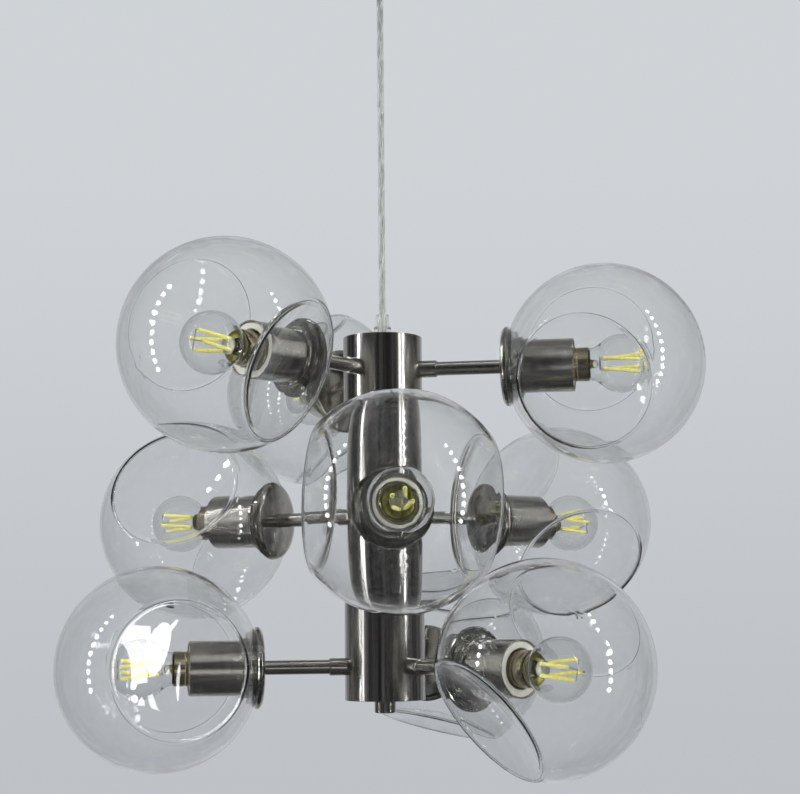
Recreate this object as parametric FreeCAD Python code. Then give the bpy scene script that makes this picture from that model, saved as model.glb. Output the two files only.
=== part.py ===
import FreeCAD, Part
import math
import os
from FreeCAD import Vector

# Cluster pendant: a brushed nickel column hung on a clear cord, with nine
# horizontal arms in three tiers of three. Each arm ends in a round shade
# plate, an E26 lampholder in a plain cover, a clear golf-ball lamp and a
# clear blown-glass globe with two pressed dimples.
# Millimetres, +Z up, origin where the ceiling canopy meets the ceiling.

# ---------------------------------------------------------------- dimensions
canopy_r = 50.0
canopy_h = 26.0
canopy_wall = 1.2
grip_low_r, grip_low_h = 7.15, 8.7      # stepped clear cord grip
grip_top_r, grip_top_h = 5.25, 9.3
grip_bore_r = 2.55
cord_r = 2.5
cord_pivot_z = -46.8                    # where the cord bends when it swings
cord_end_z = -337.0                     # end of the cord inside the column

col_r, col_wall = 30.0, 1.5
col_top, col_len = -316.0, 273.0
col_bot = col_top - col_len
col_mid = col_top - col_len / 2.0
tier_step = 111.5
tiers = {"t": (col_mid + tier_step, -40.0),   # height, angle of the first arm
         "m": (col_mid, 3.5),
         "b": (col_mid - tier_step, 40.0)}
finial_r, finial_h = 8.0, 9.5

# along an arm, x is measured from the column's axis
collar_r, collar_end = 6.5, 42.0
tube_r, tube_bore, tube_in, tube_out = 5.3, 4.2, 21.5, 101.0
plate_r, plate_front = 30.0, 97.5
plate_back = 90.6
globe_x, globe_r, glass = 168.0, 75.0, 2.2
dish_gap = 0.9                          # between plate dish and globe
neck_r, neck_boss_r = 22.6, 26.5      # the lamp's ball just passes the neck
neck_in = 102.5                         # inner face of the thick neck
ring_r, ring_x0, ring_x1 = 22.2, 102.9, 108.0
catch_r = 24.6                          # how far the ring's sprung catches stand out
cover_r, cover_wall, cover_x0, cover_x1 = 20.25, 1.0, 94.6, 146.0
holder_r, holder_x0, holder_x1 = 19.1, 95.8, 145.0
shell_ro, shell_ri = 14.1, 13.5
lamp_tip, lamp_cap_end = 129.5, 157.1
lamp_r, lamp_x = 22.2, 181.5

dimple_beta = 77.4                      # dimple axis from the neck's direction
dimple_alpha = 41.2                     # half angle of the dimple's rim
dimple_depth = 10.0
rim_fillet = 5.5

# arm key: tier, which third of the turn, roll of the globe about its arm
arms = {"t1": ("t", 0, -23.5), "t2": ("t", 1, -159.0), "t3": ("t", 2, 62.0),
        "m1": ("m", 0, -3.0), "m2": ("m", 1, -141.0), "m3": ("m", 2, 28.0),
        "b1": ("b", 2, 0.0), "b2": ("b", 0, -142.0), "b3": ("b", 1, 100.0)}

os.makedirs("parts", exist_ok=True)
Z = Vector(0, 0, 1)
X = Vector(1, 0, 0)
O = Vector(0, 0, 0)


def save(name, shapes):
    shapes = shapes if isinstance(shapes, (list, tuple)) else [shapes]
    solids = []
    for s in shapes:
        solids += s.Solids
    out = solids[0] if len(solids) == 1 else Part.makeCompound(solids)
    out.exportStep("parts/%s.step" % name)
    print("%-28s solids %2d valid %s volume %.1f" % (name, len(solids), out.isValid(), sum(s.Volume for s in solids)))


def profile(items):
    """Closed outline from (x, r) points; ('a', mid, end) adds an arc."""
    edges, cur, first = [], None, None
    for it in items:
        if it[0] == "a":
            mid, end = Vector(it[1][0], it[1][1], 0), Vector(it[2][0], it[2][1], 0)
            edges.append(Part.Arc(cur, mid, end).toShape())
            cur = end
        else:
            p = Vector(it[0], it[1], 0)
            if cur is None:
                first = p
            elif (p - cur).Length > 1e-6:
                edges.append(Part.LineSegment(cur, p).toShape())
            cur = p
    if (cur - first).Length > 1e-6:
        edges.append(Part.LineSegment(cur, first).toShape())
    return Part.Face(Part.Wire(edges))


def turn(items):
    """Solid of revolution about the arm's axis (local X)."""
    s = profile(items).revolve(O, X, 360)
    return Part.makeSolid(s) if s.ShapeType == "Shell" else s


def turn_z(items, z0=0.0):
    """Solid of revolution about Z from (z, r) points."""
    s = turn(items)
    s.rotate(O, Vector(0, 1, 0), -90)
    s.translate(Vector(0, 0, z0))
    return s


def corner(p, a, b, r):
    """Arc items rounding corner p between neighbours a and b."""
    pa = Vector(a[0] - p[0], a[1] - p[1], 0).normalize()
    pb = Vector(b[0] - p[0], b[1] - p[1], 0).normalize()
    half = math.acos(max(-1, min(1, pa.dot(pb)))) / 2.0
    t = r / math.tan(half)
    s = Vector(p[0], p[1], 0) + pa * t
    e = Vector(p[0], p[1], 0) + pb * t
    bis = (pa + pb).normalize()
    c = Vector(p[0], p[1], 0) + bis * (r / math.sin(half))
    m = c - bis * r
    return [(s.x, s.y), ("a", (m.x, m.y), (e.x, e.y))]


def rounded(points):
    """Outline points as (x, r) or (x, r, corner radius)."""
    n, out = len(points), []
    for i, p in enumerate(points):
        if len(p) == 3 and p[2] > 0:
            out += corner(p[:2], points[i - 1][:2], points[(i + 1) % n][:2], p[2])
        else:
            out.append((p[0], p[1]))
    return out


def azimuth(tier, k):
    return tiers[tier][1] + 120.0 * k


def place(shape, key):
    """From the arm's own frame to the lamp: azimuth is counted from -Y to +X."""
    tier, k, _ = arms[key]
    s = shape.copy()
    s.rotate(O, Z, azimuth(tier, k) - 90.0)
    s.translate(Vector(0, 0, tiers[tier][0]))
    return s


def cyl(r, x0, x1, axis=X):
    return Part.makeCylinder(r, x1 - x0, axis * x0, axis)


def hexagon(across, x0, x1):
    r = across / math.sqrt(3)
    pts = [Vector(x0, r * math.cos(math.radians(60 * i)), r * math.sin(math.radians(60 * i))) for i in range(7)]
    return Part.Face(Part.makePolygon(pts)).extrude(Vector(x1 - x0, 0, 0))


# ---------------------------------------------------------------- ceiling end
canopy = turn_z(rounded([(0, canopy_r - canopy_wall), (0, canopy_r), (-canopy_h, canopy_r, 4.0),
                         (-canopy_h, 5.0), (-canopy_h + canopy_wall, 5.0),
                         (-canopy_h + canopy_wall, canopy_r - canopy_wall, 2.8)]))
for sx in (1, -1):
    canopy = canopy.cut(Part.makeCylinder(2.2, 6, Vector(sx * 46.0, 0, -8.5), Vector(sx, 0, 0)))
save("ceiling_canopy", canopy)

slot = 5.0
bar = Part.makeBox(92, 18, 1.6, Vector(-46, -9, -1.6))
for sx in (1, -1):
    s = Part.makeBox(13, slot, 3, Vector(sx * 30 - 6.5, -slot / 2, -2.2))
    for ex in (-6.5, 6.5):
        s = s.fuse(Part.makeCylinder(slot / 2, 3, Vector(sx * 30 + ex, 0, -2.2)))
    bar = bar.cut(s)
    tab = Part.makeBox(1.6, 18, 14, Vector(46 - 1.6 if sx > 0 else -46, -9, -14))
    tab = tab.cut(Part.makeCylinder(1.7, 6, Vector(sx * 43.0, 0, -8.5), Vector(sx, 0, 0)))
    bar = bar.fuse(tab)
bar = bar.cut(Part.makeCylinder(1.7, 4, Vector(0, 0, -3))).removeSplitter()
save("mounting_crossbar", bar)

screws = []
for sx in (1, -1):
    sc = turn([(-6.0, 0), (-6.0, 1.65), (0.15, 1.65), (0.15, 3.6), (1.2, 3.5), ("a", (1.9, 2.7), (2.3, 1.2)), (2.5, 0.5), (2.5, 0)])
    sc = sc.cut(Part.makeBox(0.9, 9, 1.0, Vector(1.9, -4.5, -0.5)))
    if sx < 0:
        sc.rotate(O, Z, 180)
    sc.translate(Vector(sx * 50.0, 0, -8.5))
    screws.append(sc)
save("canopy_side_screws", screws)

block = Part.makeBox(30, 15, 13.2, Vector(-15, -7.5, -16.8))
block = block.makeFillet(1.0, [e for e in block.Edges if abs(e.BoundBox.ZLength - 13.2) < 0.01])
for sx in (-9.5, 0, 9.5):
    block = block.cut(Part.makeCylinder(2.4, 5.0, Vector(sx, 9, -10.5), Vector(0, -1, 0)))
# a short clip holds the block under the crossbar
block = block.fuse(Part.makeBox(8, 8, 1.8, Vector(-4, -4, -3.6))).removeSplitter()
save("supply_terminal_block", block)


def cord_grip(z0, up):
    """Stepped grip standing on a plate at z0; its stem goes through the plate."""
    s = 1 if up else -1
    g = turn_z(rounded([(-s * 6.0, grip_bore_r), (-s * 6.0, 4.9), (0, 4.9), (0, grip_low_r),
                        (s * (grip_low_h - 1.2), grip_low_r), (s * grip_low_h, grip_low_r - 1.2),
                        (s * grip_low_h, grip_top_r), (s * (grip_low_h + grip_top_h), grip_top_r - 0.35, 0.8),
                        (s * (grip_low_h + grip_top_h), grip_bore_r)]), z0)
    # two flats on the lower step
    for sx in (1, -1):
        x0 = 6.5 if sx > 0 else -16.5
        z1 = z0 + (0 if up else -grip_low_h)
        g = g.cut(Part.makeBox(10, 20, grip_low_h - 1.3,
                               Vector(x0, -10, z1 + (0.6 if up else 0.7))))
    return g


save("canopy_cord_grip", cord_grip(-canopy_h, False))
tail_top, tail_bot = -16.9, -canopy_h - grip_low_h - grip_top_h + 0.1
save("cord_end_in_canopy", Part.makeCylinder(cord_r, tail_top - tail_bot, Vector(0, 0, tail_bot)))

# ---------------------------------------------------------------- cord
cord = turn_z([(cord_end_z, 0), (cord_end_z, cord_r), (cord_pivot_z, cord_r),
               ("a", (cord_pivot_z + cord_r * math.sin(math.pi / 4), cord_r * math.cos(math.pi / 4)),
                (cord_pivot_z + cord_r, 0))])
save("suspension_cord", cord)

# ---------------------------------------------------------------- column
save("column_cord_grip", cord_grip(col_top, True))

tube = turn_z(rounded([(col_bot, col_r - col_wall), (col_bot, col_r, 0.5), (col_top, col_r, 0.5), (col_top, col_r - col_wall)]))
for key in arms:
    tube = tube.cut(place(cyl(tube_r + 0.05, 20, 40), key))
save("column_tube", tube)

inner = col_r - col_wall - 0.05
save("column_top_cap", turn_z([(col_top - 2.0, 5.0), (col_top - 2.0, inner), (col_top - 0.3, inner), (col_top, inner - 0.3), (col_top, 5.0)]))
save("column_bottom_cap", turn_z([(col_bot, 3.2), (col_bot, inner - 0.3), (col_bot + 0.3, inner), (col_bot + 2.0, inner), (col_bot + 2.0, 3.2)]))

strap = Part.makeBox(2 * inner - 2, 12, 2, Vector(-inner + 1, -6, -356))
strap = strap.common(Part.makeCylinder(inner, 10, Vector(0, 0, -360)))
for sx in (1, -1):
    ear = Part.makeBox(2, 12, 9, Vector(inner - 2.6 if sx > 0 else -inner + 0.6, -6, -363))
    ear = ear.common(Part.makeCylinder(inner, 20, Vector(0, 0, -370)))
    strap = strap.fuse(ear)
strap = strap.cut(Part.makeCylinder(3.05, 10, Vector(0, 0, -360))).removeSplitter()
save("rod_bridge", strap)

rod_top, rod_bot = -351.0, col_bot - finial_h + 2.0
rod = turn_z([(rod_bot, 0), (rod_bot, 2.6), (rod_bot + 0.4, 3.0), (rod_top - 0.4, 3.0), (rod_top, 2.6), (rod_top, 0)])
save("centre_rod", rod)
finial = turn_z(rounded([(col_bot - finial_h, 0), (col_bot - finial_h, finial_r, 1.2), (col_bot - 1.0, finial_r, 0.4),
                         (col_bot - 1.0, 6.6), (col_bot, 6.6), (col_bot, 3.1), (rod_bot - 0.1, 3.1), (rod_bot - 0.1, 0)]))
save("bottom_finial_nut", finial)

# ---------------------------------------------------------------- arms
collar = turn(rounded([(24.0, tube_r + 0.05), (24.0, collar_r), (collar_end, collar_r, 0.9), (collar_end, tube_r + 0.05)]))
col_cut = Part.makeCylinder(col_r + 0.02, 40, Vector(0, 0, -20))
save("arm_collars", [place(collar.cut(col_cut), k) for k in arms])
save("arm_tubes", [place(turn([(tube_in, tube_bore), (tube_in, tube_r - 0.4), (tube_in + 0.4, tube_r), (tube_out, tube_r), (tube_out, tube_bore)]), k) for k in arms])
locknut = hexagon(15.0, 22.4, 26.9).cut(cyl(tube_r + 0.05, 20, 40))
save("arm_lock_nuts", [place(locknut, k) for k in arms])


def on_sphere(R, r):
    return globe_x - math.sqrt(R * R - r * r)


Rd = globe_r + dish_gap
plate = turn([(plate_back, tube_r + 0.05), (plate_back, 7.5), ("a", (plate_back + 0.55, 17.0), (plate_back + 1.5, 25.0)),
              ("a", (plate_back + 2.6, 28.6), (plate_back + 4.6, plate_r)), (plate_front - 0.4, plate_r),
              (plate_front, plate_r - 0.4), (on_sphere(Rd, 28.6), 28.6),
              ("a", (on_sphere(Rd, 17.0), 17.0), (on_sphere(Rd, tube_r + 0.05), tube_r + 0.05))])
save("shade_plates", [place(plate, k) for k in arms])

g0, g1 = globe_r + 0.3, Rd - 0.02
gasket = turn([(on_sphere(g1, 23.4), 23.4), ("a", (on_sphere(g1, 25.6), 25.6), (on_sphere(g1, 28.0), 28.0)),
               (on_sphere(g0, 28.0), 28.0), ("a", (on_sphere(g0, 25.6), 25.6), (on_sphere(g0, 23.4), 23.4))])
save("shade_gaskets", [place(gasket, k) for k in arms])

ring = turn(rounded([(ring_x0, cover_r + 0.04), (ring_x0, ring_r, 0.6), (ring_x1, ring_r, 0.9), (ring_x1, cover_r + 0.04)]))
for i in range(24):
    notch = cyl(0.55, ring_x0 - 1, ring_x1 - 1.2)
    notch.translate(Vector(0, ring_r + 0.25, 0))
    notch.rotate(O, X, i * 15.0)
    ring = ring.cut(notch)
# three sprung catches snap out behind the globe's neck
leaf = Part.Face(Part.makePolygon([Vector(ring_x0 + 0.1, catch_r, 0), Vector(ring_x0 + 0.1, catch_r - 0.7, 0),
                                   Vector(ring_x1 - 1.8, ring_r - 0.9, 0), Vector(ring_x1 - 0.6, ring_r - 0.9, 0),
                                   Vector(ring_x0 + 0.1, catch_r, 0)])).extrude(Vector(0, 0, 5.0))
leaf.translate(Vector(0, 0, -2.5))
for i in range(3):
    catch = leaf.copy()
    catch.rotate(O, X, 60.0 + 120.0 * i)
    ring = ring.fuse(catch)
ring = ring.removeSplitter()
save("shade_snap_rings", [place(ring, k) for k in arms])

cover = turn([(cover_x0, tube_r + 0.05), (cover_x0, cover_r - 1.2), ("a", (cover_x0 + 0.35, cover_r - 0.35), (cover_x0 + 1.2, cover_r)),
              (cover_x1 - 0.35, cover_r), ("a", (cover_x1 - 0.1, cover_r - 0.1), (cover_x1, cover_r - 0.35)),
              (cover_x1, cover_r - cover_wall), (cover_x0 + 1.0, cover_r - cover_wall), (cover_x0 + 1.0, tube_r + 0.05)])
save("socket_covers", [place(cover, k) for k in arms])

holder = turn(rounded([(holder_x0, tube_r + 0.05), (holder_x0, holder_r), (holder_x1, holder_r, 0.8), (holder_x1, shell_ro + 0.05, 0.8),
                       (128.0, shell_ro + 0.05), (128.0, 6.0), (120.0, 6.0), (120.0, 9.0), (108.0, 9.0), (108.0, 6.5), (tube_out + 0.6, 6.5), (tube_out + 0.6, tube_r + 0.05)]))
save("lampholder_bodies", [place(holder, k) for k in arms])

shell = turn([(128.1, 6.6), (128.1, shell_ro), (143.6, shell_ro), (143.6, shell_ri + 0.25),
              (128.8, shell_ri + 0.25), (128.8, 6.6)])
contact = turn([(121.5, 0), (121.5, 2.2), (128.2, 2.2), (128.2, 4.0), (128.8, 4.0), (129.25, 2.6), (129.25, 0)])
contact_pieces = []
for k in arms:
    contact_pieces += [place(shell, k), place(contact, k)]
save("socket_shells", contact_pieces)

# ---------------------------------------------------------------- wiring
wires = [place(cyl(1.5, 13.0, 112.0), k) for k in arms]
bundle = Part.makeCylinder(2.4, 215.0, Vector(0, 9.6, -566.0))
splice = turn_z(rounded([(-349.5, 0), (-349.5, 6.4, 1.5), (cord_end_z - 0.2, 6.4, 0.5), (cord_end_z - 0.2, 0)]))
save("lead_wires", wires + [bundle, splice])


# ---------------------------------------------------------------- globes
def ball_cut(R_, depth, extra):
    """A dimple's cutting ball: rim at dimple_alpha on the outer sphere."""
    a = globe_r * math.sin(math.radians(dimple_alpha))
    h = globe_r * math.cos(math.radians(dimple_alpha))
    Rb = (a * a + depth * depth) / (2 * depth)
    return Rb + extra, h - depth + Rb


def ring_edge(e, radius, tol):
    try:
        return isinstance(e.Curve, Part.Circle) and abs(e.Curve.Radius - radius) < tol
    except TypeError:
        return False


def body(R_, extra, fillet):
    s = Part.makeSphere(R_)
    Rb, dist = ball_cut(R_, dimple_depth, extra)
    b = math.radians(dimple_beta)
    for sg in (1, -1):
        u = Vector(-math.cos(b), sg * math.sin(b), 0)
        c = Part.makeSphere(Rb)
        c.translate(u * dist)
        s = s.cut(c)
    rims = [e for e in s.Edges if ring_edge(e, 49.0, 9.0)]
    return s.makeFillet(fillet, rims).Solids[0]


outer = body(globe_r, 0.0, rim_fillet)
inner_void = body(globe_r - glass, glass, rim_fillet - glass)
dx = globe_x
boss = Part.makeCylinder(neck_boss_r, 20, Vector(neck_in - 20 - dx, 0, 0), X)
inner_void = inner_void.cut(boss)
neck = Part.makeCylinder(neck_r, 30, Vector(neck_in - 22 - dx, 0, 0), X)
globe = outer.cut(inner_void).cut(neck)
inner_edge = [e for e in globe.Edges if ring_edge(e, neck_r, 0.01)]
try:
    g2 = globe.makeFillet(0.7, inner_edge)
    if g2.isValid():
        globe = g2
except Exception as err:
    print("neck edge left sharp", err)
print("globe valid", globe.isValid(), "volume", round(globe.Volume, 1), "solids", len(globe.Solids))
for key, (tier, k, roll) in arms.items():
    g = globe.copy()
    # roll 0 puts both dimples level with the arm; a positive roll turns the
    # dimple on the arm's left-hand side (looking outward) upward
    g.rotate(O, X, roll)
    g.translate(Vector(globe_x, 0, 0))
    save("globe_%s" % key, place(g, key))

# ---------------------------------------------------------------- lamps
crest, root, pitch = 13.0, 12.35, 3.629
cap_items = [(lamp_tip, 0), (lamp_tip, 3.2), (lamp_tip + 0.9, 4.8), (lamp_tip + 1.3, 5.6), (lamp_tip + 3.8, 11.2)]
x = lamp_tip + 4.6
cap_items.append((x, root))
while x + pitch < lamp_cap_end - 5.5:
    cap_items += [("a", (x + pitch * 0.25, (root + crest) / 2 + 0.12), (x + pitch * 0.5, crest)),
                  ("a", (x + pitch * 0.75, (root + crest) / 2 + 0.12), (x + pitch, root))]
    x += pitch
cap_items += [(x + 0.8, 12.75), (lamp_cap_end - 0.3, 12.95), (lamp_cap_end, 12.8), (lamp_cap_end, 12.3), (lamp_tip + 6.0, 11.6), (lamp_tip + 6.0, 0)]
cap = turn(cap_items)

# glass envelope: short neck opening into a ball
t = 0.7
ang = math.radians(133.0)
sx, sr = lamp_x + lamp_r * math.cos(ang), lamp_r * math.sin(ang)
mx, mr = lamp_x + lamp_r * math.cos(ang / 2), lamp_r * math.sin(ang / 2)
ri = lamp_r - t
ix, ir = lamp_x + ri * math.cos(ang), ri * math.sin(ang)
nx, nr = lamp_x + ri * math.cos(ang / 2), ri * math.sin(ang / 2)
env = turn([(lamp_x + lamp_r, 0), ("a", (mx, mr), (sx, sr)), ("a", ((sx + lamp_cap_end + 1.5) / 2 - 0.6, 13.2), (lamp_cap_end + 0.1, 12.2)),
            (lamp_cap_end - 6.0, 11.4), (lamp_cap_end - 6.0, 10.7), (lamp_cap_end + 0.6, 11.5),
            ("a", ((ix + lamp_cap_end + 2.0) / 2 - 0.4, 12.5), (ix, ir)), ("a", (nx, nr), (lamp_x + ri, 0))])
stem = turn([(lamp_cap_end - 5.0, 0), (lamp_cap_end - 5.0, 9.0), (lamp_cap_end - 3.5, 6.0), (lamp_cap_end + 1.0, 3.6), (lamp_cap_end + 6.6, 2.6), (lamp_cap_end + 7.4, 0)])

fil_x0, fil_x1 = 167.0, 196.5
fils = []
for i in range(4):
    a = math.radians(45 + 90 * i)
    p0 = Vector(fil_x0, 3.6 * math.cos(a), 3.6 * math.sin(a))
    p1 = Vector(fil_x1, 7.4 * math.cos(a + 0.9), 7.4 * math.sin(a + 0.9))
    d = (p1 - p0)
    fils.append(Part.makeCylinder(0.85, d.Length, p0, d))
hub = turn([(fil_x0 - 1.8, 0), (fil_x0 - 1.8, 4.6), (fil_x0 - 1.2, 4.6), (fil_x0 - 1.2, 0)])
cross = []
for i in range(4):
    a = math.radians(45 + 90 * i) + 0.9
    cross.append(Part.makeCylinder(0.35, 8.2, Vector(fil_x1 + 1.3, 0, 0), Vector(0, math.cos(a), math.sin(a))))
spider = cross[0].fuse(cross[1:]).removeSplitter()
for key in arms:
    save("lamp_%s_cap" % key, place(cap, key))
    save("lamp_%s_glass" % key, [place(env, key), place(stem, key)])
    save("lamp_%s_filament" % key, [place(s, key) for s in fils + [hub, spider]])
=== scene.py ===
import math

import bmesh
import bpy
from mathutils import Matrix, Vector


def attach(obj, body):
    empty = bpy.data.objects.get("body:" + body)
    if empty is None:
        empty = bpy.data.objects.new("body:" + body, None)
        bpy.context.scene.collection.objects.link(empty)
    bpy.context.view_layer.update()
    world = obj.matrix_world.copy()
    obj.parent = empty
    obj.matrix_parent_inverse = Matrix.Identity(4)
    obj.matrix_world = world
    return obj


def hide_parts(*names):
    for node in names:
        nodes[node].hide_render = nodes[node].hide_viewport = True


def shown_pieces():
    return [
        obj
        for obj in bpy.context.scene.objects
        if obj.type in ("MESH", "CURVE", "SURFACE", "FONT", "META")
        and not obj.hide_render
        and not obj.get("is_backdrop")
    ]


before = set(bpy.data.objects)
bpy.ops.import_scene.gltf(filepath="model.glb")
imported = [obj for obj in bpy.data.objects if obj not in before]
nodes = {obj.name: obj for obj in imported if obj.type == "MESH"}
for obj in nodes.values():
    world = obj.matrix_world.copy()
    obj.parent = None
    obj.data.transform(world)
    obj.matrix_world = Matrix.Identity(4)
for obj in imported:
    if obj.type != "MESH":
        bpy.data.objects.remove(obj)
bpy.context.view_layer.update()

scene = bpy.context.scene
rad = math.radians


# ------------------------------------------------------------------ camera
def make_camera():
    f_px, width_px = 1738.08, 800.0
    yaw, pitch, roll = rad(0.58), rad(7.38), rad(-0.51)
    place = Vector((-0.00027, -1.3130, -0.53152))
    fwd = Vector((math.sin(yaw) * math.cos(pitch), math.cos(yaw) * math.cos(pitch), math.sin(pitch)))
    right = Vector((math.cos(yaw), -math.sin(yaw), 0))
    up = right.cross(fwd)
    r2 = math.cos(roll) * right + math.sin(roll) * up
    u2 = -math.sin(roll) * right + math.cos(roll) * up
    data = bpy.data.cameras.new("photo_camera")
    cam = bpy.data.objects.new("photo_camera", data)
    scene.collection.objects.link(cam)
    m = Matrix((r2, u2, -fwd)).transposed().to_4x4()
    m.translation = place
    cam.matrix_world = m
    data.sensor_fit = "HORIZONTAL"
    data.sensor_width = 36.0
    data.lens = f_px / width_px * 36.0
    data.clip_start, data.clip_end = 0.05, 60.0
    scene.camera = cam
    return cam


camera = make_camera()


# ------------------------------------------------------------------ material tools
def new_material(name):
    m = bpy.data.materials.new(name)
    m.use_nodes = True
    nt = m.node_tree
    bsdf = nt.nodes.get("Principled BSDF")
    return m, nt, bsdf


def coords(nt, scale=(1, 1, 1), rotation=(0, 0, 0)):
    tc = nt.nodes.new("ShaderNodeTexCoord")
    mp = nt.nodes.new("ShaderNodeMapping")
    mp.inputs["Scale"].default_value = scale
    mp.inputs["Rotation"].default_value = rotation
    nt.links.new(tc.outputs["Object"], mp.inputs["Vector"])
    return mp.outputs["Vector"]


def noise(nt, vec, scale, detail=4.0, rough=0.55):
    n = nt.nodes.new("ShaderNodeTexNoise")
    n.inputs["Scale"].default_value = scale
    n.inputs["Detail"].default_value = detail
    n.inputs["Roughness"].default_value = rough
    nt.links.new(vec, n.inputs["Vector"])
    return n.outputs["Fac"]


def ranged(nt, value, lo, hi, a=0.3, b=0.7):
    r = nt.nodes.new("ShaderNodeMapRange")
    r.inputs["From Min"].default_value = a
    r.inputs["From Max"].default_value = b
    r.inputs["To Min"].default_value = lo
    r.inputs["To Max"].default_value = hi
    nt.links.new(value, r.inputs["Value"])
    return r.outputs["Result"]


def ramp(nt, value, *stops):
    r = nt.nodes.new("ShaderNodeValToRGB")
    e = r.color_ramp.elements
    e[0].position, e[0].color = stops[0][0], (*stops[0][1], 1)
    e[1].position, e[1].color = stops[-1][0], (*stops[-1][1], 1)
    for p, c in stops[1:-1]:
        x = e.new(p)
        x.color = (*c, 1)
    nt.links.new(value, r.inputs["Fac"])
    return r.outputs["Color"]


def bump(nt, bsdf, height, strength, distance):
    b = nt.nodes.new("ShaderNodeBump")
    b.inputs["Strength"].default_value = strength
    b.inputs["Distance"].default_value = distance
    nt.links.new(height, b.inputs["Height"])
    nt.links.new(b.outputs["Normal"], bsdf.inputs["Normal"])


def metal(name, dark, light, rough_lo, rough_hi, stretch, scale=60.0, mottle=9.0, groove=0.05):
    """Worked metal: stretch squeezes the grain along one axis, so that it runs in lines."""
    m, nt, b = new_material(name)
    b.inputs["Metallic"].default_value = 1.0
    grain = noise(nt, coords(nt, stretch), scale, 6.0, 0.62)
    broad = noise(nt, coords(nt, (1, 1, 1)), mottle, 3.0, 0.5)
    mix = nt.nodes.new("ShaderNodeMath")
    mix.operation = "MULTIPLY_ADD"
    mix.inputs[1].default_value = 0.65
    nt.links.new(grain, mix.inputs[0])
    part = nt.nodes.new("ShaderNodeMath")
    part.operation = "MULTIPLY"
    part.inputs[1].default_value = 0.35
    nt.links.new(broad, part.inputs[0])
    nt.links.new(part.outputs[0], mix.inputs[2])
    v = mix.outputs[0]
    nt.links.new(ramp(nt, v, (0.36, dark), (0.64, light)), b.inputs["Base Color"])
    nt.links.new(ranged(nt, v, rough_hi, rough_lo, 0.34, 0.66), b.inputs["Roughness"])
    bump(nt, b, grain, groove, 0.0002)
    return m


def clear(name, lo, hi, ior, rough_lo, rough_hi, scale, wave, transmission=1.0, lets_light=True):
    """Clear glass or plastic: a faint tint that drifts, faint streaks of haze and a slow wave."""
    m, nt, b = new_material(name)
    b.inputs["Transmission Weight"].default_value = transmission
    b.inputs["IOR"].default_value = ior
    slow = noise(nt, coords(nt), scale, 2.0, 0.4)
    fine = noise(nt, coords(nt, (1.0, 1.0, 2.5)), scale * 9.0, 5.0, 0.6)
    nt.links.new(ramp(nt, slow, (0.35, lo), (0.65, hi)), b.inputs["Base Color"])
    nt.links.new(ranged(nt, fine, rough_lo, rough_hi, 0.45, 0.8), b.inputs["Roughness"])
    if wave:
        bump(nt, b, slow, 1.0, wave)
    if lets_light:
        lp = nt.nodes.new("ShaderNodeLightPath")
        tr = nt.nodes.new("ShaderNodeBsdfTransparent")
        tr.inputs["Color"].default_value = (0.93, 0.94, 0.94, 1)
        mx = nt.nodes.new("ShaderNodeMixShader")
        out = nt.nodes.get("Material Output")
        nt.links.new(lp.outputs["Is Shadow Ray"], mx.inputs[0])
        nt.links.new(b.outputs[0], mx.inputs[1])
        nt.links.new(tr.outputs[0], mx.inputs[2])
        nt.links.new(mx.outputs[0], out.inputs["Surface"])
    return m


def solid(name, lo, hi, rough_lo, rough_hi, scale, pit=0.0, stretch=(1, 1, 1), **sockets):
    """Opaque non-metal: two tones that drift, uneven gloss and a little surface relief."""
    m, nt, b = new_material(name)
    n = noise(nt, coords(nt, stretch), scale, 5.0, 0.6)
    fine = noise(nt, coords(nt, stretch), scale * 7.0, 3.0, 0.6)
    nt.links.new(ramp(nt, n, (0.35, lo), (0.65, hi)), b.inputs["Base Color"])
    nt.links.new(ranged(nt, fine, rough_lo, rough_hi, 0.35, 0.65), b.inputs["Roughness"])
    if pit:
        bump(nt, b, fine, 0.4, pit)
    for k, v in sockets.items():
        b.inputs[k.replace("_", " ")].default_value = v
    return m


# ------------------------------------------------------------------ materials
M = {}
M["brushed_nickel"] = metal("nickel_brushed_upright", (0.36, 0.345, 0.325), (0.66, 0.635, 0.60), 0.10, 0.22, (20.0, 20.0, 0.24), 62.0)
M["nickel_along_arm"] = metal("nickel_brushed_along", (0.38, 0.36, 0.325), (0.66, 0.635, 0.59), 0.12, 0.24, (0.30, 15.0, 15.0), 62.0, groove=0.10)
M["nickel_small"] = metal("nickel_satin_small", (0.50, 0.48, 0.445), (0.64, 0.615, 0.575), 0.14, 0.26, (5.0, 5.0, 5.0), 60.0)
M["polished_nickel"] = metal("nickel_polished", (0.50, 0.48, 0.44), (0.68, 0.66, 0.61), 0.07, 0.16, (6.0, 6.0, 6.0), 40.0, groove=0.02)
M["canopy_nickel"] = metal("nickel_brushed_canopy", (0.50, 0.48, 0.44), (0.66, 0.635, 0.59), 0.16, 0.29, (14.0, 1.2, 3.0), 60.0)
M["zinc_steel"] = metal("steel_zinc", (0.46, 0.47, 0.49), (0.68, 0.69, 0.70), 0.30, 0.45, (3.0, 3.0, 3.0), 70.0)
M["screw_shell"] = metal("brass_nickelled", (0.55, 0.49, 0.36), (0.74, 0.66, 0.48), 0.20, 0.34, (3.0, 3.0, 3.0), 90.0)
M["lamp_cap_metal"] = metal("cap_dull_brass", (0.34, 0.29, 0.20), (0.46, 0.40, 0.29), 0.18, 0.30, (1.0, 1.0, 6.0), 160.0, mottle=30.0)
M["braid"] = solid("strands_pale", (0.38, 0.39, 0.36), (0.50, 0.51, 0.47), 0.35, 0.55, 240.0, 0.00005, (6.0, 6.0, 1.5))
M["silver"] = solid("strands_silvery", (0.34, 0.355, 0.345), (0.46, 0.475, 0.46), 0.30, 0.50, 240.0, 0.00005, (6.0, 6.0, 1.5), Metallic=0.35)
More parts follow.
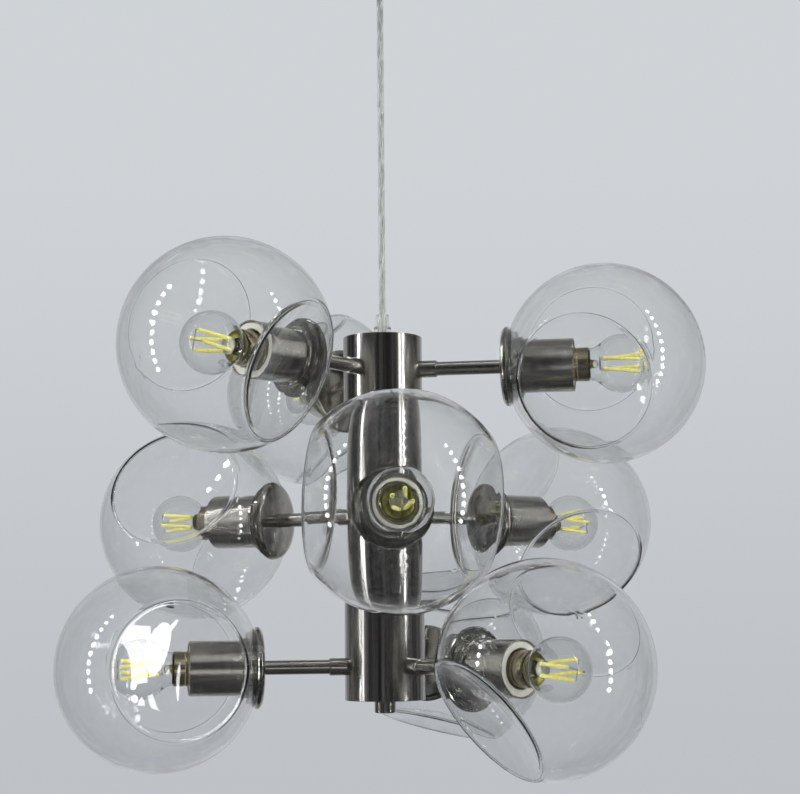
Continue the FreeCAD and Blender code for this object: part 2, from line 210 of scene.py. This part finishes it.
M["tinned"] = metal("tinned_strands", (0.50, 0.50, 0.49), (0.78, 0.78, 0.76), 0.25, 0.40, (9.0, 9.0, 2.0), 240.0)
M["shade_glass"] = clear("glass_blown", (0.985, 0.990, 0.990), (0.997, 0.999, 0.999), 1.50, 0.0, 0.012, 9.0, 0.00004)
M["lamp_glass"] = clear("glass_lamp", (0.975, 0.982, 0.980), (0.992, 0.995, 0.994), 1.48, 0.0, 0.012, 30.0, 0.00002)
M["clear_pvc"] = clear("pvc_clear", (0.84, 0.86, 0.81), (0.93, 0.94, 0.91), 1.46, 0.10, 0.26, 70.0, 0.00005, 0.86)
M["silicone"] = clear("silicone_clear", (0.82, 0.84, 0.83), (0.90, 0.91, 0.90), 1.41, 0.08, 0.20, 80.0, 0.0, 1.0)
M["porcelain"] = solid("porcelain_ivory", (0.68, 0.64, 0.55), (0.78, 0.75, 0.67), 0.22, 0.40, 70.0, 0.00004)
M["terminal_plastic"] = solid("plastic_terminal", (0.66, 0.66, 0.62), (0.74, 0.74, 0.70), 0.40, 0.55, 90.0, 0.00005)
M["wire_insulation"] = solid("insulation_white", (0.72, 0.72, 0.69), (0.82, 0.82, 0.79), 0.35, 0.50, 120.0, 0.00003)
# painted shade: the hollow's rim is real, but the dark tone of this line stands in for the darkness the glass shows
# along that rim; its gloss catches the real lamps
M["glass_edge"] = solid("glass_rim_painted_shade", (0.09, 0.10, 0.105), (0.60, 0.62, 0.64), 0.06, 0.14, 26.0, 0.0)
# the sticks' yellow is their own colour; their faint emission (strength 0.10) is a painted glow, as the lamps are not
# lit
M["filament"] = solid("phosphor_yellow_painted_glow", (0.76, 0.66, 0.14), (0.90, 0.84, 0.34), 0.45, 0.65, 420.0, 0.00008, Emission_Color=(0.90, 0.80, 0.22, 1), Emission_Strength=0.10)
M["dark_wire"] = metal("wire_dark", (0.30, 0.29, 0.27), (0.52, 0.50, 0.47), 0.25, 0.40, (3.0, 3.0, 3.0), 160.0)
# painted reflection: the olive-yellow tone on a small bowl in the lamp's neck stands in for the yellow sticks mirrored
# in the neck glass
M["olive"] = metal("neck_olive_painted_reflection", (0.17, 0.15, 0.03), (0.60, 0.54, 0.15), 0.24, 0.42, (2.0, 2.0, 2.0), 150.0, mottle=120.0)


# ------------------------------------------------------------------ cord, from the grip under the canopy into the column
def curve_piece(name, points, radius, kind="NURBS", resolution=6):
    cu = bpy.data.curves.new(name, "CURVE")
    cu.dimensions = "3D"
    cu.bevel_depth = radius
    cu.bevel_resolution = resolution
    cu.use_fill_caps = True
    sp = cu.splines.new(kind)
    sp.points.add(len(points) - 1)
    for p, q in zip(sp.points, points):
        p.co = (*q, 1.0)
    if kind == "NURBS":
        sp.order_u = 3
        sp.use_endpoint_u = True
        sp.resolution_u = 4
    ob = bpy.data.objects.new(name, cu)
    scene.collection.objects.link(ob)
    return ob


CORD_TOP, CORD_END, CORD_R = -0.0443, -0.3370, 0.0025
BEND = CORD_TOP - CORD_R                # where the cord bends under the grip; its end is domed about this point
dome = [rad(a) for a in (90, 78, 64, 50, 36, 22, 10, 0)]
cord_points = [(0.0, 0.0, BEND + CORD_R * math.sin(a)) for a in dome] + [(0.0, 0.0, BEND + (CORD_END - BEND) * i / 24.0) for i in range(1, 25)]
cord = curve_piece("clear_cord_sheath", cord_points, CORD_R, kind="POLY", resolution=8)
for q, a in zip(cord.data.splines[0].points, dome):
    q.radius = max(0.03, math.cos(a))
cord.data.materials.append(M["clear_pvc"])


def strand(name, phase, mat):
    pts = []
    n = 150
    for i in range(n + 1):
        z = CORD_TOP - 0.0022 + (CORD_END - CORD_TOP + 0.0032) * i / n
        a = phase + 2 * math.pi * (z / 0.042)
        pts.append((0.00102 * math.cos(a), 0.00102 * math.sin(a), z))
    ob = curve_piece(name, pts, 0.00082, resolution=3)
    ob.data.splines[0].resolution_u = 2
    ob.data.materials.append(mat)
    return ob


strand_a = strand("cord_conductor_a", 0.0, M["braid"])
strand_b = strand("cord_conductor_b", math.pi, M["silver"])
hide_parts("suspension_cord")
for ob in (cord, strand_a, strand_b):
    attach(ob, "cord")


# ------------------------------------------------------------------ shared geometry tools
TIERS = {"t": (-0.341, -40.0), "m": (-0.4525, 3.5), "b": (-0.564, 40.0)}
ARMS = {"t1": ("t", 0), "t2": ("t", 1), "t3": ("t", 2), "m1": ("m", 0), "m2": ("m", 1), "m3": ("m", 2),
        "b1": ("b", 2), "b2": ("b", 0), "b3": ("b", 1)}


def arm_matrix(key):
    tier, k = ARMS[key]
    z, first = TIERS[tier]
    return Matrix.Translation((0, 0, z)) @ Matrix.Rotation(rad(first + 120.0 * k - 90.0), 4, "Z")


def lathe(bm, outline, segments, mat_index=0):
    """Closed solid of revolution about X from a closed outline of (x, r) in millimetres."""
    rings = []
    for x, r in outline:
        if r < 1e-6:
            rings.append([bm.verts.new((x / 1000.0, 0, 0))])
        else:
            rings.append([bm.verts.new((x / 1000.0, r / 1000.0 * math.cos(2 * math.pi * i / segments), r / 1000.0 * math.sin(2 * math.pi * i / segments))) for i in range(segments)])
    n = len(rings)
    for j in range(n):
        a, b = rings[j], rings[(j + 1) % n]
        if len(a) == 1 and len(b) == 1:
            continue
        for i in range(segments):
            k = (i + 1) % segments
            loop = [a[i % len(a)], a[k % len(a)], b[k % len(b)], b[i % len(b)]]
            face = []
            for v in loop:
                if v not in face:
                    face.append(v)
            f = bm.faces.new(face)
            f.material_index = mat_index


def rounded(points, steps=5):
    """Outline with rounded corners: (x, r) or (x, r, corner radius), in millimetres."""
    out, n = [], len(points)
    for i, p in enumerate(points):
        if len(p) < 3:
            out.append((p[0], p[1]))
            continue
        c, a, b = Vector(p[:2]), Vector(points[i - 1][:2]), Vector(points[(i + 1) % n][:2])
        pa, pb = (a - c).normalized(), (b - c).normalized()
        half = math.acos(max(-1, min(1, pa.dot(pb)))) / 2
        t = p[2] / math.tan(half)
        bis = (pa + pb).normalized()
        o = c + bis * (p[2] / math.sin(half))
        s, e = c + pa * t, c + pb * t
        vs, ve = s - o, e - o
        ang = vs.angle_signed(ve)
        for j in range(steps + 1):
            q = vs.copy()
            q.rotate(Matrix.Rotation(-ang * j / steps, 2))
            out.append(tuple(o + q))
    return out


def finish_mesh(bm, name, mats, angle=32.0):
    bmesh.ops.recalc_face_normals(bm, faces=bm.faces)
    me = bpy.data.meshes.new(name)
    bm.to_mesh(me)
    bm.free()
    for m in mats:
        me.materials.append(m)
    me.shade_smooth()
    me.set_sharp_from_angle(angle=rad(angle))
    return me


def place_mesh(me, name, key, body, slot, *stands_for, within=None):
    if within is not None:
        me = me.copy()
        me.transform(within)
    ob = bpy.data.objects.new(name, me)
    scene.collection.objects.link(ob)
    ob.matrix_world = arm_matrix(key)
    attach(ob, body)
    if stands_for:
        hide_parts(*stands_for)
    return ob


# ------------------------------------------------------------------ lampholder covers, brushed along the arm
cover_r, cover_x0, cover_x1, tube = 20.25, 94.6, 146.0, 5.35
bm = bmesh.new()
lathe(bm, rounded([(cover_x0, tube), (cover_x0, cover_r, 1.2), (cover_x1, cover_r, 0.42), (cover_x1, cover_r - 1.0, 0.3),
                   (cover_x0 + 1.0, cover_r - 1.0, 0.6), (cover_x0 + 1.0, tube)], 6), 192)
cover_mesh = finish_mesh(bm, "socket_cover", [M["nickel_along_arm"]])
for key in ARMS:
    place_mesh(cover_mesh, "socket_cover_" + key, key, "lamp_cluster", "brushed_nickel", "socket_covers")


# ------------------------------------------------------------------ shade plates: turned rings on the back, fine ribs round the rim
def on_sphere(big, r):
    return 168.0 - math.sqrt(big * big - r * r)


def plate_outline():
    out = [(90.6, tube)]
    r, k = 7.5, 0
    back = [(7.5, 90.6), (12.0, 90.85), (17.0, 91.15), (21.0, 91.6), (25.0, 92.1), (27.2, 92.65), (28.6, 93.2), (29.5, 94.2)]

    def back_x(q):
        for (ra, xa), (rb, xb) in zip(back, back[1:]):
            if ra <= q <= rb:
                return xa + (xb - xa) * (q - ra) / (rb - ra)
        return back[-1][1]

    while r < 29.5:
        out.append((back_x(r) + (0.07 if k % 2 else 0.0), r))
        r += 0.55
        k += 1
    out += [(94.5, 29.8), (95.0, 30.0)]
    x = 95.25
    while x < 96.8:
        out += [(x, 29.62), (x + 0.12, 29.62), (x + 0.22, 30.0), (x + 0.33, 30.0)]
        x += 0.44
    out += [(97.1, 30.0), (97.5, 29.6)]
    q = 28.6
    while q > tube:
        out.append((on_sphere(75.9, q), q))
        q -= 1.6
    out.append((on_sphere(75.9, tube), tube))
    return out


bm = bmesh.new()
lathe(bm, plate_outline(), 160)
plate_mesh = finish_mesh(bm, "shade_plate", [M["polished_nickel"]], 24.0)
for key in ARMS:
    place_mesh(plate_mesh, "shade_plate_" + key, key, "lamp_cluster", "polished_nickel", "shade_plates")


# ------------------------------------------------------------------ lamp filaments: sticks, pins, hub and spider, and a small bowl in the neck that carries a painted reflection
def tube_between(bm, p0, p1, radius, segments, mat_index, capped=0.0, rows=1):
    """Round stick from p0 to p1 in millimetres; capped rounds both ends."""
    p0, p1 = Vector(p0) / 1000.0, Vector(p1) / 1000.0
    radius, capped = radius / 1000.0, capped / 1000.0
    d = (p1 - p0)
    length = d.length
    d.normalize()
    side = d.orthogonal().normalized()
    other = d.cross(side)
    stations = []
    if capped:
        for j in range(5):
            a = math.pi / 2 * j / 5
            stations.append((capped * (1 - math.cos(a)), radius * max(0.12, math.sin(a))))
    for j in range(rows + 1):
        stations.append((capped + (length - 2 * capped) * j / rows, radius))
    if capped:
        for j in range(4, -1, -1):
            a = math.pi / 2 * j / 5
            stations.append((length - capped * (1 - math.cos(a)), radius * max(0.12, math.sin(a))))
    rings = []
    for s, r in stations:
        c = p0 + d * s
        rings.append([bm.verts.new(c + side * (r * math.cos(2 * math.pi * i / segments)) + other * (r * math.sin(2 * math.pi * i / segments))) for i in range(segments)])
    for a, b in zip(rings, rings[1:]):
        for i in range(segments):
            k = (i + 1) % segments
            bm.faces.new((a[i], a[k], b[k], b[i])).material_index = mat_index
    bm.faces.new(list(reversed(rings[0]))).material_index = mat_index
    bm.faces.new(rings[-1]).material_index = mat_index


bm = bmesh.new()
for i in range(4):
    a = rad(45 + 90 * i)
    p0 = Vector((167.0, 5.7 * math.cos(a), 5.7 * math.sin(a)))
    p1 = Vector((196.5, 7.0 * math.cos(a + 0.55), 7.0 * math.sin(a + 0.55)))
    d = (p1 - p0).normalized()
    tube_between(bm, p0 + d * 0.6, p1 - d * 0.6, 1.42, 20, 0, 0.8, 12)
    tube_between(bm, p0 - d * 0.9, p0 + d * 1.5, 0.28, 8, 1)
    tube_between(bm, p1 - d * 1.5, p1 + d * 1.25, 0.28, 8, 1)
    tube_between(bm, (197.8, 0, 0), (197.8, 7.3 * math.cos(a + 0.55), 7.3 * math.sin(a + 0.55)), 0.26, 10, 3)
lathe(bm, rounded([(165.2, 0), (165.2, 6.6, 0.25), (166.0, 6.6, 0.25), (166.0, 0)], 3), 48, 1)
# a small bowl in the lamp's neck that carries the olive painted reflection of the sticks
lathe(bm, [(156.2, 6.4), (156.6, 8.2), (157.4, 10.2), (158.2, 11.15), (158.5, 11.15), (158.3, 10.75), (157.5, 9.9), (156.9, 8.0), (156.6, 6.4)], 64, 2)
filament_mesh = finish_mesh(bm, "lamp_filament", [M["filament"], M["tinned"], M["olive"], M["dark_wire"]])
for key in ARMS:
    place_mesh(filament_mesh, "lamp_sticks_" + key, key, "lamp_%s_bulb" % key, "filament", "lamp_%s_filament" % key)


# ------------------------------------------------------------------ a fine dark line inside the glass along the rim of each hollow: the rim is real, the dark tone of this line is painted shade
ROLLS = {"t1": -23.5, "t2": -159.0, "t3": 62.0, "m1": -3.0, "m2": -141.0, "m3": 28.0, "b1": 0.0, "b2": -142.0, "b3": 100.0}
bm = bmesh.new()
beta = rad(77.4)
for sg in (1, -1):
    u = Vector((-math.cos(beta), sg * math.sin(beta), 0))
    e1 = Vector((0, 0, 1))
    e2 = u.cross(e1).normalized()
    rings = []
    n, m = 200, 10
    for i in range(n):
        a = 2 * math.pi * i / n
        out = e1 * math.cos(a) + e2 * math.sin(a)
        wide = 0.22 + 0.05 * math.sin(3 * a + sg) + 0.03 * math.sin(7 * a)
        rings.append([bm.verts.new((u * (54.29 + wide * math.cos(2 * math.pi * j / m)) + out * (49.31 + wide * math.sin(2 * math.pi * j / m))) / 1000.0) for j in range(m)])
    for i in range(n):
        a, b = rings[i], rings[(i + 1) % n]
        for j in range(m):
            bm.faces.new((a[j], a[(j + 1) % m], b[(j + 1) % m], b[j]))
rim_shade_mesh = finish_mesh(bm, "hollow_rim_shade_line", [M["glass_edge"]], 60.0)
for key in ARMS:
    place_mesh(rim_shade_mesh, "hollow_rim_shade_line_" + key, key, "globe_" + key, "shade_glass",
               within=Matrix.Translation((0.168, 0, 0)) @ Matrix.Rotation(rad(ROLLS[key]), 4, "X"))


# ------------------------------------------------------------------ CAD nodes keep their shape and take these finishes
def dress(name, material):
    ob = nodes[name]
    if len(ob.data.materials) == 0:
        ob.data.materials.append(material)
    for i in range(len(ob.data.materials)):
        ob.data.materials[i] = material


for name, mat, slot in [
    ("ceiling_canopy", "canopy_nickel", "brushed_nickel"),
    ("mounting_crossbar", "zinc_steel", "zinc_steel"),
    ("canopy_side_screws", "polished_nickel", "polished_nickel"),
    ("supply_terminal_block", "terminal_plastic", "terminal_plastic"),
    ("canopy_cord_grip", "clear_pvc", "clear_pvc"),
    ("cord_end_in_canopy", "clear_pvc", "clear_pvc"),
    ("column_cord_grip", "clear_pvc", "clear_pvc"),
    ("column_tube", "brushed_nickel", "brushed_nickel"),
    ("column_top_cap", "nickel_small", "brushed_nickel"),
    ("column_bottom_cap", "nickel_small", "brushed_nickel"),
    ("rod_bridge", "zinc_steel", "zinc_steel"),
    ("centre_rod", "zinc_steel", "zinc_steel"),
    ("bottom_finial_nut", "polished_nickel", "polished_nickel"),
    ("arm_collars", "nickel_small", "brushed_nickel"),
    ("arm_tubes", "nickel_small", "brushed_nickel"),
    ("arm_lock_nuts", "zinc_steel", "zinc_steel"),
    ("shade_gaskets", "silicone", "silicone"),
    ("shade_snap_rings", "polished_nickel", "polished_nickel"),
    ("lampholder_bodies", "porcelain", "porcelain"),
    ("socket_shells", "screw_shell", "screw_shell"),
    ("lead_wires", "wire_insulation", "wire_insulation"),
]:
    dress(name, M[mat])
for key in ARMS:
    dress("globe_" + key, M["shade_glass"])
    dress("lamp_%s_cap" % key, M["lamp_cap_metal"])
    dress("lamp_%s_glass" % key, M["lamp_glass"])


# ------------------------------------------------------------------ studio: pale floor, pale surround, soft lights
def studio_floor():
    bm = bmesh.new()
    bmesh.ops.create_circle(bm, cap_ends=True, radius=7.0, segments=96)
    me = bpy.data.meshes.new("studio_floor")
    bm.to_mesh(me)
    bm.free()
    ob = bpy.data.objects.new("studio_floor", me)
    scene.collection.objects.link(ob)
    ob.location = (0, 0, -2.4)
    me.materials.append(solid("floor_pale", (0.82, 0.835, 0.85), (0.86, 0.87, 0.885), 0.6, 0.8, 0.8))
    ob.visible_glossy = ob.visible_transmission = False
    ob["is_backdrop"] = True


def studio_world():
    w = bpy.data.worlds.new("studio")
    scene.world = w
    w.use_nodes = True
    nt = w.node_tree
    nt.nodes.clear()
    out = nt.nodes.new("ShaderNodeOutputWorld")
    bg = nt.nodes.new("ShaderNodeBackground")
    tc = nt.nodes.new("ShaderNodeTexCoord")
    sep = nt.nodes.new("ShaderNodeSeparateXYZ")
    nt.links.new(tc.outputs["Generated"], sep.inputs[0])
    up, back = sep.outputs["Z"], sep.outputs["Y"]

    def smooth(value, a, b, lo, hi):
        r = nt.nodes.new("ShaderNodeMapRange")
        r.interpolation_type = "SMOOTHSTEP"
        r.inputs["From Min"].default_value, r.inputs["From Max"].default_value = a, b
        r.inputs["To Min"].default_value, r.inputs["To Max"].default_value = lo, hi
        nt.links.new(value, r.inputs["Value"])
        return r.outputs["Result"]

    def maths(op, x, y):
        n = nt.nodes.new("ShaderNodeMath")
        n.operation = op
        for i, v in enumerate((x, y)):
            if isinstance(v, (int, float)):
                n.inputs[i].default_value = v
            else:
                nt.links.new(v, n.inputs[i])
        return n.outputs[0]

    def colours(fac, a, b):
        n = nt.nodes.new("ShaderNodeMix")
        n.data_type = "RGBA"
        for sock, v in ((n.inputs[0], fac), (n.inputs[6], a), (n.inputs[7], b)):
            if isinstance(v, tuple):
                sock.default_value = (*v, 1)
            else:
                nt.links.new(v, sock)
        return n.outputs[2]

    # what the eye and clear glass see: a pale, slightly cool surround
    pale = colours(smooth(up, -0.12, 0.30, 0.0, 1.0), (0.515, 0.535, 0.565), (0.625, 0.652, 0.676))
    # what polished surfaces mirror: a dim room in front, the pale backdrop behind
    mp = nt.nodes.new("ShaderNodeMapping")
    mp.inputs["Scale"].default_value = (2.3, 2.3, 0.22)
    nt.links.new(tc.outputs["Generated"], mp.inputs["Vector"])
    nz = nt.nodes.new("ShaderNodeTexNoise")
    nz.inputs["Scale"].default_value = 5.2
    nz.inputs["Detail"].default_value = 3.0
    nt.links.new(mp.outputs["Vector"], nz.inputs["Vector"])
    dim = smooth(nz.outputs["Fac"], 0.44, 0.66, 0.008, 0.15)
    light = maths("ADD", dim, smooth(back, 0.35, 1.0, 0.0, 0.44))
    light = maths("ADD", light, smooth(up, 0.45, 0.95, 0.0, 0.14))
    room = nt.nodes.new("ShaderNodeCombineColor")
    nt.links.new(light, room.inputs[0])
    nt.links.new(maths("MULTIPLY", light, 1.03), room.inputs[1])
    nt.links.new(maths("MULTIPLY", light, 1.065), room.inputs[2])
    lp = nt.nodes.new("ShaderNodeLightPath")
    mirrored = maths("GREATER_THAN", lp.outputs["Glossy Depth"], 0.5)
    nt.links.new(colours(mirrored, pale, room.outputs[0]), bg.inputs["Color"])
    bg.inputs["Strength"].default_value = 1.0
    nt.links.new(bg.outputs[0], out.inputs[0])
    w.cycles.sampling_method = "NONE"


def aim(ob, place, target):
    ob.location = place
    ob.rotation_mode = "QUATERNION"
    ob.rotation_quaternion = (Vector(target) - Vector(place)).to_track_quat("-Z", "Y")


def soft_light(name, place, target, width, height, radiance, colour=(1, 1, 1)):
    data = bpy.data.lights.new(name, "AREA")
    data.shape = "RECTANGLE"
    data.size, data.size_y = width, height
    data.energy = radiance * math.pi * width * height
    data.color = colour
    ob = bpy.data.objects.new(name, data)
    scene.collection.objects.link(ob)
    aim(ob, place, target)
    ob.visible_camera = False
    return ob


def lamp_row(name, azimuth, distance, lowest, highest, step, radius, strength):
    """An upright row of small round lamps, as seen mirrored in the globes."""
    bm = bmesh.new()
    e = lowest
    while e <= highest + 1e-6:
        a = rad(azimuth)
        c = Vector((math.sin(a) * distance, -math.cos(a) * distance, -0.45 + distance * math.tan(rad(e))))
        n = (Vector((0, 0, -0.45)) - c).normalized()
        s = n.orthogonal().normalized()
        t = n.cross(s)
        bm.faces.new([bm.verts.new(c + (s * math.cos(2 * math.pi * i / 16) + t * math.sin(2 * math.pi * i / 16)) * radius) for i in range(16)])
        e += step
    me = bpy.data.meshes.new(name)
    bm.to_mesh(me)
    bm.free()
    m = bpy.data.materials.new(name)
    m.use_nodes = True
    nt = m.node_tree
    nt.nodes.clear()
    em = nt.nodes.new("ShaderNodeEmission")
    em.inputs["Color"].default_value = (0.95, 0.98, 1.0, 1)
    em.inputs["Strength"].default_value = strength
    o = nt.nodes.new("ShaderNodeOutputMaterial")
    nt.links.new(em.outputs[0], o.inputs[0])
    me.materials.append(m)
    ob = bpy.data.objects.new(name, me)
    scene.collection.objects.link(ob)
    ob.visible_camera = False
    ob.visible_shadow = False
    ob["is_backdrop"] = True


studio_floor()
studio_world()
mid = (0, 0, -0.45)


def around(azimuth, distance, z):
    return (distance * math.sin(rad(azimuth)), -distance * math.cos(rad(azimuth)), z)


def lights_only(ob, name, members):
    """This light falls on these pieces alone, so that it can be shaped for one finish."""
    col = bpy.data.collections.new(name)
    for m in members:
        col.objects.link(m)
    ob.light_linking.receiver_collection = col


glass = [o for o in scene.objects if o.type == "MESH" and (o.name.startswith("globe_") or o.name.endswith("_glass"))]
others = [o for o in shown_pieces() if o not in glass]
above = soft_light("light_above", (-0.5, -0.6, 1.3), mid, 1.6, 1.6, 3.0, (1.0, 0.99, 0.97))
above.visible_glossy = above.visible_transmission = False
fill = soft_light("light_fill", (0.5, -2.6, -0.1), mid, 1.6, 1.2, 0.9, (0.97, 0.99, 1.0))
fill.visible_glossy = fill.visible_transmission = False
for name, az, width, z, height, radiance in (("light_strip_left", -66, 0.14, -1.15, 1.8, 7.5), ("light_strip_left_high", -65, 0.30, 0.7, 1.9, 0.85),
                                             ("light_strip_right", 51, 0.16, 0.55, 2.1, 5.2)):
    strip = soft_light(name, around(az, 2.4, z), (0, 0, z), width, height, radiance)
    lights_only(strip, name + "_on", others)
# broad soft panels that only the small metal parts mirror: above, below and at both sides
outside = [o for o in others if o.name.startswith(("arm_", "bottom_finial"))]
inside = [o for o in others if o.name.startswith(("socket_cover_", "shade_plate_", "shade_snap"))] + [nodes["lamp_%s_cap" % key] for key in ARMS]
for name, place, wide, deep, radiance_in, radiance_out in (("panel_high", (0.3, -1.65, 1.15), 1.3, 1.15, 1.15, 0.50), ("panel_low", (0.35, -2.3, -1.1), 1.2, 0.55, 1.35, 0.50),
                                                           ("panel_left", (-2.3, 0.1, 0.25), 1.6, 1.9, 1.20, 0.45), ("panel_right", (2.3, 0.1, 0.3), 1.5, 1.8, 1.10, 0.40),
                                                           ("panel_edge", (0.1, -0.5, 1.5), 2.0, 0.22, 2.4, 1.6)):
    for where, members, radiance in (("in", inside, radiance_in), ("out", outside, radiance_out)):
        panel = soft_light("%s_%s" % (name, where), place, mid, wide, deep, radiance)
        panel.data.cycles.use_multiple_importance_sampling = where == "out"
        lights_only(panel, "%s_%s_on" % (name, where), members)
plates = [o for o in inside if o.name in ("shade_plate_t1", "shade_plate_m1", "shade_plate_b2")]
for name, az, z, wide, high, radiance in (("panel_plate_left", -118, 0.1, 1.9, 1.5, 2.2), ("panel_plate_left_low", -86, -1.35, 1.0, 0.9, 2.0), ("panel_plate_right", 112, 0.2, 1.7, 1.4, 1.8),
                                          ("panel_plate_right_low", 88, -1.9, 1.0, 1.0, 1.4), ("panel_plate_front_left", -38, -0.6, 0.35, 1.6, 2.4), ("panel_plate_front_right", 47, -0.3, 0.25, 1.5, 2.0)):
    panel = soft_light(name, around(az, 2.4, z), mid, wide, high, radiance)
    panel.data.cycles.use_multiple_importance_sampling = False
    lights_only(panel, name + "_on", plates)
covers = [o for o in inside if o.name.startswith("socket_cover_")]
for name, az, z, wide, high, radiance in (("panel_cover_left", -57, 0.75, 0.50, 2.5, 3.6), ("panel_cover_right", 52, 0.6, 0.36, 2.0, 2.4)):
    panel = soft_light(name, around(az, 2.4, z), mid, wide, high, radiance)
    panel.data.cycles.use_multiple_importance_sampling = False
    lights_only(panel, name + "_on", covers)
lamp_row("lamp_row_left", -74, 2.3, -18, 46, 7.0, 0.085, 24.0)
lamp_row("lamp_row_right", 62, 2.3, -18, 46, 7.0, 0.085, 24.0)
# a tall window at the right, which the bottom left globe's hollow gathers
panes = ((62, 0.74, 1.35, -0.98, 6), (47, 0.62, 1.30, -1.16, -9), (53.5, 0.10, 0.62, -1.30, 14), (60, 0.26, 1.1, 0.50, -12), (49, 0.17, 0.9, 0.36, 15),
         (33, 0.08, 0.9, -0.35, -5), (70, 0.30, 0.50, -0.20, 28), (40, 0.12, 0.45, -1.75, -32), (56, 0.20, 0.36, 1.25, 24), (66, 0.12, 0.60, 1.10, -22))
for i, (az, width, height, z, turned) in enumerate(panes):
    pane = soft_light("window_pane_%d" % i, around(az, 2.4, z), mid, width, height, 7.0)
    pane.rotation_quaternion = pane.rotation_quaternion @ Matrix.Rotation(rad(turned), 4, "Z").to_quaternion()
    if i % 2:
        pane.data.shape = "ELLIPSE"
    lights_only(pane, "window_pane_%d_on" % i, [nodes["globe_b1"]])

scene.view_settings.view_transform = "Standard"
scene.view_settings.look = "None"
scene.cycles.max_bounces = 32
scene.cycles.transmission_bounces = 32
scene.cycles.glossy_bounces = 8
scene.cycles.diffuse_bounces = 3
scene.cycles.transparent_max_bounces = 16
scene.cycles.use_denoising = True
scene.cycles.sample_clamp_indirect = 8.0
